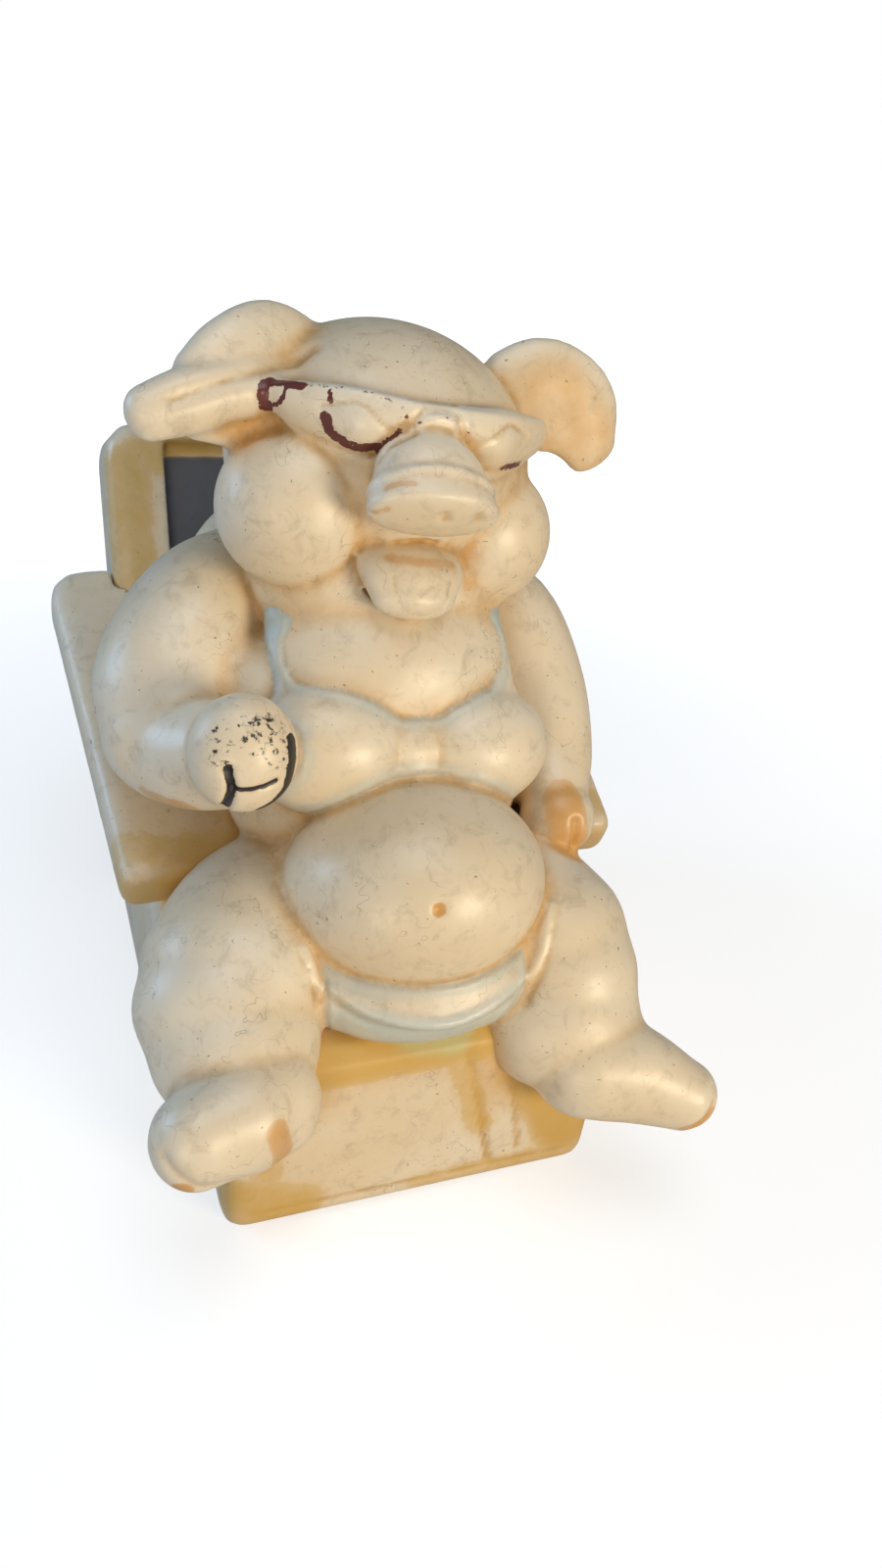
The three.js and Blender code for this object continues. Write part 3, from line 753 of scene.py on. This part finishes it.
def skin_piece(name):
    """One named piece cut from the pig's skin, its seams turned inwards."""
    surface, names = pig_skin()
    own = names.index(name)
    bm = bmesh.new()
    bm.from_mesh(surface.mesh)
    layer = bm.verts.layers.int["own_piece"]
    others = [f for f in bm.faces if sorted(v[layer] for v in f.verts)[len(f.verts) // 2] != own]
    bmesh.ops.delete(bm, geom=others, context="FACES")
    seams = [e for e in bm.edges if e.is_boundary]
    depth = bpy.context.scene.money_bank_sizes.rim_depth
    normal_layer = bm.verts.layers.float_vector["soft_normal"]
    grown = bmesh.ops.extrude_edge_only(bm, edges=seams)
    for vert in grown["geom"]:
        if isinstance(vert, bmesh.types.BMVert):
            vert.co -= Vector(vert[normal_layer]) * depth
    piece_mesh = bpy.data.meshes.new(name + "_skin")
    bm.to_mesh(piece_mesh)
    bm.free()
    flat = np.empty(len(piece_mesh.vertices) * 3, dtype=np.float32)
    piece_mesh.attributes["soft_normal"].data.foreach_get("vector", flat)
    piece_mesh.shade_smooth()
    piece_mesh.normals_split_custom_set_from_vertices(flat.reshape(-1, 3).tolist())
    piece_mesh.attributes.remove(piece_mesh.attributes["soft_normal"])
    piece_mesh.attributes.remove(piece_mesh.attributes["own_piece"])
    return finish_piece(name, piece_mesh)


def finish_piece(node, mesh, body=CASTING):
    piece = placed(node + "_glazed", mesh)
    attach(piece, body)
    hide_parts(node)
    return piece


# Armchair from the solids, melted soft

def merged_copy(node):
    bm = bmesh.new()
    bm.from_mesh(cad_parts[node].data)
    bmesh.ops.remove_doubles(bm, verts=bm.verts, dist=1e-6)
    return bm


def chair_piece(node, yellow, green=(), grooves=()):
    """An armchair node melted soft, with its grooves and the masks for its paint."""
    sizes = bpy.context.scene.money_bank_sizes
    mesh = melted(merged_copy(node), sizes.chair_grain, sizes.chair_softness)
    mesh.shade_smooth()
    surface = Surface(mesh)
    if grooves:
        surface.press_all(Matrix(), grooves)
        surface.settle()
    pig, _ = pig_skin()
    # Amber darkening where the chair comes near the pig, added to its creases
    touch = closeness(surface.places, pig.target(), CHAIR_TOUCH_REACH)
    write_relief(surface, sizes.chair_grain, CHAIR_CREASES, touch ** 1.5)
    for name, rows in (("yellow_paint", yellow), ("green_paint", green)):
        write_mask(mesh, name, surface.marks(Matrix(), rows))
    return finish_piece(node, mesh)


# Shader groups and materials

FLOAT, COLOUR, VECTOR = "NodeSocketFloat", "NodeSocketColor", "NodeSocketVector"

# Remains of paint, and the painted shade in the backrest's sunk panel, as (mask, colour, patch size, wear,
# flaking)
ORANGE_WEAR = ("amber_paint", "orange", 420, 0.5, 0.3)
TONGUE_WEAR = ("amber_paint", "orange", 420, 0.7, 0.2)
RED_FLAKES = ("red_paint", "red_brown", 700, 0.85, 1.0)
BLACK_FLAKES = ("black_paint", "black", 620, 0.75, 1.0)
SUIT_WASH = ("blue_paint", "suit_blue", 70, 0.75, 0.12)
YELLOW_WASH = ("yellow_paint", "yellow", 200, 0.6, 0.25)
GREEN_WASH = ("green_paint", "green", 200, 0.6, 0.0)
# Painted shade: mottled dark navy for the shadow in the backrest's sunk panel
PANEL_SHADE = ("navy_paint", "navy", 160, 0.5, 0.4)


def node_group(name, inputs, outputs):
    """A shader group, with the sockets that it is given and those that it has to fill."""
    group = bpy.data.node_groups.new(name, "ShaderNodeTree")
    for label, kind, default in inputs:
        socket = group.interface.new_socket(label, in_out="INPUT", socket_type=kind)
        socket.default_value = default
    for label, kind in outputs:
        group.interface.new_socket(label, in_out="OUTPUT", socket_type=kind)
    return group, group.nodes.new("NodeGroupInput").outputs, group.nodes.new("NodeGroupOutput").inputs


def feed(tree, value, socket):
    """Gives a socket a number, a colour or the output of another node."""
    if isinstance(value, (int, float)):
        socket.default_value = value
    elif isinstance(value, tuple):
        socket.default_value = (*value, 1)
    else:
        tree.links.new(value, socket)


def add_node(tree, kind, inputs, **settings):
    """A new shader node, its settings made and its inputs fed."""
    node = tree.nodes.new("ShaderNode" + kind)
    for key, value in settings.items():
        setattr(node, key, value)
    for key, value in inputs.items():
        feed(tree, value, node.inputs[key])
    return node


def math_node(tree, operation, first, second=0.5, clamp=False):
    return add_node(tree, "Math", {0: first, 1: second}, operation=operation, use_clamp=clamp).outputs[0]


def blend_colour(tree, factor, first, second):
    inputs = {0: factor, 6: first, 7: second}
    return add_node(tree, "Mix", inputs, data_type="RGBA", clamp_factor=True).outputs[2]


def noise(tree, where, scale, detail, rough, distortion=0.0):
    return add_node(tree, "TexNoise", {
        "Vector": where, "Scale": scale, "Detail": detail, "Roughness": rough, "Distortion": distortion,
    }).outputs["Fac"]


def ramp(tree, value, low, high):
    inputs = {"Value": value, "From Min": low, "From Max": high}
    return add_node(tree, "MapRange", inputs, interpolation_type="SMOOTHSTEP").outputs["Result"]


def object_place(tree):
    return add_node(tree, "TexCoord", {}).outputs["Object"]


def mask_of(tree, name):
    return add_node(tree, "Attribute", {}, attribute_type="GEOMETRY", attribute_name=name).outputs["Fac"]


def paint_group():
    """Cover of a paint that flakes off in patches (Flaking 1) or fades like a wash (Flaking 0); it also lays
    the painted shade in the backrest's sunk panel.
    """
    if "Paint remains" in bpy.data.node_groups:
        return bpy.data.node_groups["Paint remains"]
    group, given, out = node_group(
        "Paint remains",
        [("Vector", VECTOR, (0, 0, 0)), ("Mask", FLOAT, 0.0), ("Size", FLOAT, 500.0), ("Wear", FLOAT, 0.5),
         ("Flaking", FLOAT, 1.0)],
        [("Cover", FLOAT)])
    grain = noise(group, given["Vector"], given["Size"], 5, 0.65)
    worn = math_node(group, "MULTIPLY", grain, given["Wear"])
    left = math_node(group, "SUBTRACT", given["Mask"], worn)
    hard = ramp(group, left, 0.08, 0.16)
    soft = math_node(group, "MULTIPLY", ramp(group, left, -0.25, 0.7), 0.85)
    mix = add_node(group, "Mix", {0: given["Flaking"], 2: soft, 3: hard})
    feed(group, mix.outputs[0], out["Cover"])
    return group


def worn_group():
    """Colour, roughness and height of the worn glaze from its masks."""
    if "Worn glaze" in bpy.data.node_groups:
        return bpy.data.node_groups["Worn glaze"]
    group, given, out = node_group(
        "Worn glaze",
        [("Vector", VECTOR, (0, 0, 0)), ("Glaze", COLOUR, (0.8, 0.7, 0.5, 1)),
         ("Chalk", COLOUR, (0.85, 0.8, 0.7, 1)), ("Amber", COLOUR, (0.5, 0.3, 0.1, 1)),
         ("Crease", FLOAT, 0.0), ("Fine crease", FLOAT, 0.0), ("Ridge", FLOAT, 0.0)],
        [("Colour", COLOUR), ("Roughness", FLOAT), ("Height", FLOAT)])
    where, crease = given["Vector"], given["Crease"]
    glaze, chalk, amber = given["Glaze"], given["Chalk"], given["Amber"]
    broad = ramp(group, noise(group, where, 28, 3, 0.5), 0.35, 0.7)
    cloud = ramp(group, noise(group, where, 90, 4, 0.6, 0.4), 0.4, 0.75)
    streak = math_node(group, "ADD", noise(group, where, 160, 5, 0.65), 0.3)
    gathered = math_node(group, "MULTIPLY", math_node(group, "POWER", crease, 0.7), streak)
    fine = ramp(group, noise(group, where, 240, 3, 0.6), 0.3, 0.65)
    fine = math_node(group, "MULTIPLY", given["Fine crease"], fine)
    grime = ramp(group, noise(group, where, 190, 8, 0.72, 0.6), 0.48, 0.72)
    bend = math_node(group, "ABSOLUTE", math_node(group, "SUBTRACT", noise(group, where, 75, 3, 0.55), 0.5))
    crack = math_node(group, "SUBTRACT", 1.0, ramp(group, bend, 0.0, 0.004))
    some = ramp(group, noise(group, where, 48, 2, 0.5), 0.52, 0.62)
    crack = math_node(group, "MULTIPLY", crack, some)
    speck = ramp(group, noise(group, where, 900, 2, 0.5), 0.715, 0.75)
    colour = glaze
    for cover, share, paint in (
        (broad, 0.55, chalk),
        (cloud, 0.3, blend_colour(group, 0.35, glaze, amber)),
        (given["Ridge"], 0.45, chalk),
        (gathered, 0.95, amber),
        (fine, 0.7, blend_colour(group, 0.4, amber, (0.16, 0.11, 0.06))),
        (grime, 0.34, (0.3, 0.22, 0.13)),
        (crack, 0.5, (0.2, 0.13, 0.07)),
        (speck, 0.6, (0.1, 0.07, 0.05)),
    ):
        colour = blend_colour(group, math_node(group, "MULTIPLY", cover, share), colour, paint)
    feed(group, colour, out["Colour"])
    rough = math_node(group, "ADD", math_node(group, "MULTIPLY", cloud, 0.12), 0.38)
    rough = math_node(group, "ADD", rough, math_node(group, "MULTIPLY", crease, 0.25), clamp=True)
    feed(group, rough, out["Roughness"])
    pits = math_node(group, "MULTIPLY", noise(group, where, 420, 6, 0.6), 0.5)
    waves = noise(group, where, 110, 3, 0.5)
    feed(group, math_node(group, "ADD", pits, waves), out["Height"])
    return group


def new_material(name):
    material = bpy.data.materials.new(name)
    material.use_nodes = True
    return material, material.node_tree, material.node_tree.nodes["Principled BSDF"]


def roughen(tree, shader, height, strength, distance):
    bump = add_node(tree, "Bump", {"Strength": strength, "Distance": distance, "Height": height})
    feed(tree, bump.outputs["Normal"], shader.inputs["Normal"])


def glaze_material(name, paints):
    """A worn glaze with remains of paint; on the backrest also the painted shade of its sunk panel."""
    if name in bpy.data.materials:
        return bpy.data.materials[name]
    colours = bpy.context.scene.money_bank_colours
    material, tree, shader = new_material(name)
    where = object_place(tree)
    worn = add_node(tree, "Group", {
        "Vector": where, "Glaze": tuple(colours.ivory), "Chalk": tuple(colours.chalk),
        "Amber": tuple(colours.amber), "Crease": mask_of(tree, "crease"),
        "Fine crease": mask_of(tree, "fine_crease"), "Ridge": mask_of(tree, "ridge"),
    }, node_tree=worn_group())
    colour = worn.outputs["Colour"]
    # These covers are remains of paint, except the backrest's navy, which is painted shade
    for mask, paint, size, wear, flaking in paints:
        remains = add_node(tree, "Group", {
            "Vector": where, "Mask": mask_of(tree, mask), "Size": size, "Wear": wear, "Flaking": flaking,
        }, node_tree=paint_group())
        colour = blend_colour(tree, remains.outputs["Cover"], colour, tuple(getattr(colours, paint)))
    feed(tree, colour, shader.inputs["Base Color"])
    feed(tree, worn.outputs["Roughness"], shader.inputs["Roughness"])
    roughen(tree, shader, worn.outputs["Height"], strength=0.25, distance=0.0006)
    feed(tree, 0.2, shader.inputs["Coat Weight"])
    feed(tree, 0.3, shader.inputs["Coat Roughness"])
    return material


def chair_material():
    return glaze_material("Worn glaze, armchair", [YELLOW_WASH, GREEN_WASH])


def dress(piece, material):
    piece.data.materials.clear()
    piece.data.materials.append(material)


def dress_skin(names, material):
    for name in names:
        dress(skin_piece(name), material)
    return {"FINISHED"}


# Operators, one for each piece or group of like pieces

class MONEYBANK_OT_seat(Operator):
    """Boxy base of the armchair"""
    bl_idname = "money_bank.seat"
    bl_label = "Seat"

    def execute(self, context):
        grooves = (
            ([(8, -67, 46), (13, -67, 28), (18, -67, 8)], 1.0, 0.8),
            ([(19, -67, 42), (25, -67, 12)], 0.9, 0.6),
            ([(-40, -67, 7), (0, -67, 7), (40, -67, 7)], 0.8, 0.35),
        )
        yellow = (
            ([(-30, -66, 50), (10, -66, 51)], 3, 6, 0.95),
            ([(24, -67, 46), (38, -67, 16)], 5, 9, 0.95),
            ([(-42, -66, 12), (-30, -67, 7)], 3, 10, 0.8),
            ([(44, -60, 44), (46, -56, 8)], 2, 8, 0.6),
            ([(-42, -67, 46), (-36, -67, 20)], 1, 7, 0.6),
            ([(4, -67, 50), (14, -67, 22)], 1, 6, 0.6),
            ([(0, -67, 6), (44, -67, 6)], 1, 6, 0.55),
        )
        green = (([(-4, -62, 52), (4, -64, 51)], 3, 5, 0.7),)
        piece = chair_piece("chair_seat", yellow, green, grooves)
        dress(piece, chair_material())
        return {"FINISHED"}


class MONEYBANK_OT_backrest(Operator):
    """Backrest with a raised frame round its sunk panel, which is coloured dark navy as painted shade, and
    the coin slot in its rear
    """
    bl_idname = "money_bank.backrest"
    bl_label = "Backrest"

    def execute(self, context):
        yellow = (
            ([(-46, 46, 60), (-46, 72, 128)], 4, 7, 0.6),
            ([(46, 46, 60), (46, 72, 128)], 4, 7, 0.55),
            ([(-40, 74, 132), (40, 74, 132)], 3, 7, 0.6),
        )
        piece = chair_piece("chair_back", yellow)
        # Painted shade: this mask colours the whole sunk panel dark navy for the shadow behind the head
        write_mask(piece.data, "navy_paint", panel_mask(read_vectors(piece.data, "co") / MM))
        material = glaze_material("Worn glaze, backrest", [YELLOW_WASH, PANEL_SHADE])
        dress(piece, material)
        return {"FINISHED"}


def panel_mask(places):
    """1 on the backrest's sunk panel, 0 on its frame; places in millimetres."""
    lean = math.radians(BACK_LEAN)
    height = places[:, 2] - SEAT_EDGE.z
    up = height / math.cos(lean)
    ahead = (places[:, 1] - BACK_FOOT_Y) * math.cos(lean) - height * math.sin(lean)
    sunk = 1 - fade(ahead + PANEL_DEPTH, 0, 1.2)
    across = fade(np.abs(places[:, 0]), PANEL_HALF_WIDTH, 1.0)
    upward = fade(np.abs(up - PANEL_MIDDLE), PANEL_HALF_HEIGHT, 1.0)
    return sunk * across * upward * fade(ahead, -4, 2)


class MONEYBANK_OT_armrests(Operator):
    """The two slab armrests"""
    bl_idname = "money_bank.armrests"
    bl_label = "Armrests"

    def execute(self, context):
        for side, name in ((-1, "left"), (1, "right")):
            front = (
                ([(34 * side, -22, 64), (60 * side, -20, 64)], 4, 9, 0.62),
                ([(36 * side, -18, 72), (58 * side, -16, 72)], 1, 12, 0.5),
            )
            dress(chair_piece(name + "_armrest", front), chair_material())
        return {"FINISHED"}


class MONEYBANK_OT_skin(Operator):
    """Body, head, snout, ears, arms, legs and feet of the pig"""
    bl_idname = "money_bank.skin"
    bl_label = "Pig"

    def execute(self, context):
        material = glaze_material("Worn glaze, pig", [ORANGE_WEAR, RED_FLAKES, BLACK_FLAKES])
        return dress_skin(
            ("body", "head", "snout", "left_ear", "right_ear", "left_arm", "right_arm", "left_leg",
             "right_leg", "left_foot", "right_foot"), material)


class MONEYBANK_OT_tongue(Operator):
    """Tongue in the open mouth"""
    bl_idname = "money_bank.tongue"
    bl_label = "Tongue"

    def execute(self, context):
        material = glaze_material("Worn glaze, tongue", [TONGUE_WEAR])
        return dress_skin(("tongue",), material)


class MONEYBANK_OT_hooves(Operator):
    """Cloven front hooves with remains of black paint"""
    bl_idname = "money_bank.hooves"
    bl_label = "Hooves"

    def execute(self, context):
        material = glaze_material("Worn glaze, hoof", [ORANGE_WEAR, BLACK_FLAKES])
        return dress_skin(("left_hoof", "right_hoof"), material)


class MONEYBANK_OT_eyeglasses(Operator):
    """Winged eyeglasses with remains of red-brown outlines"""
    bl_idname = "money_bank.eyeglasses"
    bl_label = "Eyeglasses"

    def execute(self, context):
        material = glaze_material("Worn glaze, eyeglasses", [RED_FLAKES])
        return dress_skin(("eyeglasses",), material)


class MONEYBANK_OT_suit(Operator):
    """Two-piece bathing suit with remains of light blue"""
    bl_idname = "money_bank.suit"
    bl_label = "Bathing suit"

    def execute(self, context):
        material = glaze_material("Worn glaze, suit", [SUIT_WASH])
        return dress_skin(("bikini_top", "bikini_bottom"), material)


class MONEYBANK_OT_stopper(Operator):
    """Soft stopper in the underside"""
    bl_idname = "money_bank.stopper"
    bl_label = "Stopper"

    def execute(self, context):
        material, tree, shader = new_material("Matt rubber")
        where = object_place(tree)
        dust = ramp(tree, noise(tree, where, 120, 5, 0.6), 0.35, 0.75)
        colour = blend_colour(tree, dust, (0.13, 0.12, 0.1), (0.2, 0.18, 0.15))
        feed(tree, colour, shader.inputs["Base Color"])
        feed(tree, 0.62, shader.inputs["Roughness"])
        roughen(tree, shader, noise(tree, where, 900, 4, 0.6), strength=0.2, distance=0.0003)
        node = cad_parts["stopper"]
        node.data.materials.clear()
        node.data.materials.append(material)
        return {"FINISHED"}


class MONEYBANK_OT_stage(Operator):
    """Pale floor, soft lamps and the camera"""
    bl_idname = "money_bank.stage"
    bl_label = "Stage"

    def execute(self, context):
        scene = context.scene
        lay_floor()
        light_world(scene)
        for row in LAMPS:
            lamp(*row)
        place_camera(scene)
        scene.view_settings.view_transform = "Standard"
        return {"FINISHED"}


def lay_floor():
    """A pale floor that keeps the object's shadow and fades to white where the camera sees it."""
    bm = bmesh.new()
    bmesh.ops.create_grid(bm, x_segments=1, y_segments=1, size=3.0)
    floor = holder_of(bm, "floor")
    material, tree, shader = new_material("Pale floor")
    feed(tree, (0.6, 0.6, 0.6), shader.inputs["Base Color"])
    feed(tree, 0.8, shader.inputs["Roughness"])
    feed(tree, 0.1, shader.inputs["Specular IOR Level"])
    length = add_node(tree, "VectorMath", {0: object_place(tree)}, operation="LENGTH")
    away = ramp(tree, length.outputs["Value"], 0.12, 0.6)
    strength = math_node(tree, "ADD", math_node(tree, "MULTIPLY", away, 0.45), 0.62)
    glow = add_node(tree, "Emission", {"Strength": strength})
    both = add_node(tree, "AddShader", {0: shader.outputs[0], 1: glow.outputs[0]})
    show_camera(tree, shader, both, tree.nodes["Material Output"])
    floor.data.materials.append(material)


def show_camera(tree, plain, seen, out):
    """Sends one shader to the camera and the plain one to all other rays."""
    ray = add_node(tree, "LightPath", {}).outputs["Is Camera Ray"]
    choose = add_node(tree, "MixShader", {"Fac": ray, 1: plain.outputs[0], 2: seen.outputs[0]})
    feed(tree, choose.outputs[0], out.inputs["Surface"])


def light_world(scene):
    """A weak bluish room, white where the camera sees it."""
    scene.world = bpy.data.worlds.new("Soft room")
    scene.world.use_nodes = True
    tree = scene.world.node_tree
    room = tree.nodes["Background"]
    feed(tree, (0.8, 0.88, 1.0), room.inputs["Color"])
    feed(tree, WORLD_STRENGTH, room.inputs["Strength"])
    white = add_node(tree, "Background", {"Color": (1, 1, 1), "Strength": 1})
    show_camera(tree, room, white, tree.nodes["World Output"])


def place_camera(scene):
    camera = placed("camera", bpy.data.cameras.new("camera"))
    camera.data.sensor_width = SENSOR_WIDTH
    camera.data.lens = LENS
    camera.data.clip_start = 0.01
    azimuth, elevation, roll = (math.radians(a) for a in CAMERA_TURN)
    level = math.cos(elevation)
    ahead = Vector((math.sin(azimuth) * level, math.cos(azimuth) * level, -math.sin(elevation)))
    right = Vector((math.cos(azimuth), -math.sin(azimuth), 0))
    up = right.cross(ahead)
    across = right * math.cos(roll) + up * math.sin(roll)
    top = up * math.cos(roll) - right * math.sin(roll)
    turn = Matrix((across, top, -ahead)).transposed().to_4x4()
    camera.matrix_world = Matrix.Translation(CAMERA_AT * MM) @ turn
    scene.camera = camera


def lamp(name, place, size, power, colour):
    light = bpy.data.lights.new(name, "AREA")
    light.shape = "DISK"
    light.size = size
    light.energy = power
    light.color = colour
    holder = placed(name, light)
    holder.location = place
    holder.rotation_euler = (LAMP_TARGET - Vector(place)).to_track_quat("-Z", "Y").to_euler()


class MONEYBANK_PT_pieces(Panel):
    """Pieces of the money bank"""
    bl_idname = "MONEYBANK_PT_pieces"
    bl_label = "Money Bank"
    bl_space_type = "VIEW_3D"
    bl_region_type = "UI"
    bl_category = "Money Bank"

    def draw(self, context):
        layout = self.layout
        for operator in OPERATORS:
            layout.operator(operator.bl_idname)
        for group in (context.scene.money_bank_sizes, context.scene.money_bank_colours):
            for name in group.__annotations__:
                layout.prop(group, name)


OPERATORS = (
    MONEYBANK_OT_seat, MONEYBANK_OT_backrest, MONEYBANK_OT_armrests, MONEYBANK_OT_skin,
    MONEYBANK_OT_tongue, MONEYBANK_OT_hooves, MONEYBANK_OT_eyeglasses, MONEYBANK_OT_suit,
    MONEYBANK_OT_stopper, MONEYBANK_OT_stage,
)
CLASSES = (MoneyBankSizes, MoneyBankColours, *OPERATORS, MONEYBANK_PT_pieces)


def register():
    for cls in CLASSES:
        bpy.utils.register_class(cls)
    bpy.types.Scene.money_bank_sizes = PointerProperty(type=MoneyBankSizes)
    bpy.types.Scene.money_bank_colours = PointerProperty(type=MoneyBankColours)


def unregister():
    del bpy.types.Scene.money_bank_colours
    del bpy.types.Scene.money_bank_sizes
    for cls in reversed(CLASSES):
        bpy.utils.unregister_class(cls)


def main():
    register()
    for operator in OPERATORS:
        getattr(bpy.ops.money_bank, operator.bl_idname.split(".")[1])()


if __name__ == "__main__":
    main()
